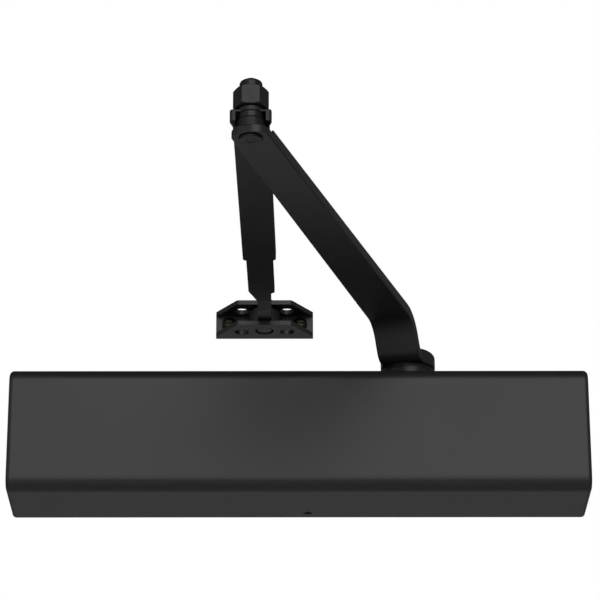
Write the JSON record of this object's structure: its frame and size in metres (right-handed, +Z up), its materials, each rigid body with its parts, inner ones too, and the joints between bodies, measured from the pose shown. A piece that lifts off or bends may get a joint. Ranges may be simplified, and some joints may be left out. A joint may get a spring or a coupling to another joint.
{
  "type": "door closer",
  "caption": "Surface-mounted hydraulic door closer with a full cover, rack-and-pinion piston, cranked main arm, telescoping forearm and frame shoe.",
  "frame": {"origin": "middle of the cover's height on the door's face, at the middle of the cover's length: a point on the housing's flat back face", "axes": "+X along the closer towards the pinion end, +Y into the door, out of the back face, +Z up towards the arm"},
  "size_m": [0.324, 0.2973, 0.1287],
  "materials": {
    "black_paint": "satin black powder coat",
    "black_steel": "satin black, slightly smoother on turned faces",
    "cast_body": "as cast, matte",
    "bright_steel": "turned and ground",
    "spring_steel": "dark oil-hardened wire",
    "plated_screw": "yellow zinc plate",
    "seal_rubber": "matte"
  },
  "bodies": {
    "closer_body": {"housing": "cast_body", "cover": "black_paint", "cover_screw": "black_steel", "mounting_screw_1": "bright_steel", "mounting_screw_2": "bright_steel", "mounting_screw_3": "bright_steel", "mounting_screw_4": "bright_steel", "bearing_cap_top": "black_steel", "bearing_cap_bottom": "black_steel", "pinion_seal_top": "seal_rubber", "pinion_seal_bottom": "seal_rubber", "spring_end_plug": "bright_steel", "spring_plug_seal": "seal_rubber", "valve_end_plug": "bright_steel", "valve_plug_seal": "seal_rubber", "main_spring": "spring_steel"},
    "main_arm": {"pinion_shaft": "bright_steel", "main_arm": "black_paint", "arm_washer": "black_steel", "arm_screw": "black_steel", "elbow_stud": "black_steel", "elbow_spacer": "black_steel", "elbow_bush": "black_steel", "elbow_nut": "black_steel"},
    "forearm_sleeve": {"forearm_sleeve": "black_paint", "sleeve_screw_front": "black_steel", "sleeve_screw_rear": "black_steel"},
    "forearm_rod": {"forearm_rod": "black_paint"},
    "frame_shoe": {"shoe_bracket": "black_paint", "shoe_pivot_pin": "black_steel", "shoe_screw_left": "plated_screw", "shoe_screw_right": "plated_screw"},
    "piston": {"piston_rack": "bright_steel", "check_ball": "bright_steel", "check_ball_retainer": "bright_steel"},
    "spring_seat": {"spring_seat": "bright_steel"},
    "spring_adjuster": {"spring_adjuster": "bright_steel"},
    "sweep_valve": {"sweep_valve": "bright_steel"},
    "latch_valve": {"latch_valve": "bright_steel"},
    "backcheck_valve": {"backcheck_valve": "bright_steel"}
  },
  "joints": [
    {"name": "pinion_turn", "type": "hinge", "parent": "closer_body", "child": "main_arm", "pos_m": [0.062, -0.026, 0], "axis": [0, 0, 1], "range_deg": [-170, 0], "stiffness_Nm_per_rad": 4, "springref_deg": 85.94, "deforming": ["main_spring"]},
    {"name": "piston_slide", "type": "slide", "parent": "closer_body", "child": "piston", "axis": [1, 0, 0], "range_m": [-0.0239, 0]},
    {"name": "elbow_turn", "type": "hinge", "parent": "main_arm", "child": "forearm_sleeve", "pos_m": [-0.0237, -0.2895, 0.0713], "axis": [0, 0, 1], "range_deg": [-16, 140]},
    {"name": "forearm_length", "type": "slide", "parent": "forearm_sleeve", "child": "forearm_rod", "axis": [0.0144, 0.9999, 0], "range_m": [-0.015, 0.03]},
    {"name": "shoe_turn", "type": "hinge", "parent": "forearm_rod", "child": "frame_shoe", "pos_m": [-0.0197, -0.012, 0.081], "axis": [0, 0, 1], "range_deg": [-75, 75]},
    {"name": "spring_adjuster_turn", "type": "hinge", "parent": "closer_body", "child": "spring_adjuster", "pos_m": [-0.1143, -0.026, 0], "axis": [1, 0, 0], "range_deg": [0, 1441]},
    {"name": "spring_seat_slide", "type": "slide", "parent": "closer_body", "child": "spring_seat", "axis": [1, 0, 0], "range_m": [0, 0.006]},
    {"name": "sweep_valve_turn", "type": "hinge", "parent": "closer_body", "child": "sweep_valve", "pos_m": [0.1212, -0.019, -0.024], "axis": [1, 0, 0], "range_deg": [-360, 360]},
    {"name": "latch_valve_turn", "type": "hinge", "parent": "closer_body", "child": "latch_valve", "pos_m": [0.1212, -0.033, -0.024], "axis": [1, 0, 0], "range_deg": [-360, 360]},
    {"name": "backcheck_valve_turn", "type": "hinge", "parent": "closer_body", "child": "backcheck_valve", "pos_m": [0.094, -0.026, -0.0305], "axis": [0, 0, 1], "range_deg": [-360, 360]}
  ],
  "couplings": [
    {"joint": "piston_slide", "follows": "pinion_turn", "m_per_rad": 0.008},
    {"joint": "spring_adjuster_turn", "follows": "spring_seat_slide", "rad_per_m": 4188.8}
  ]
}
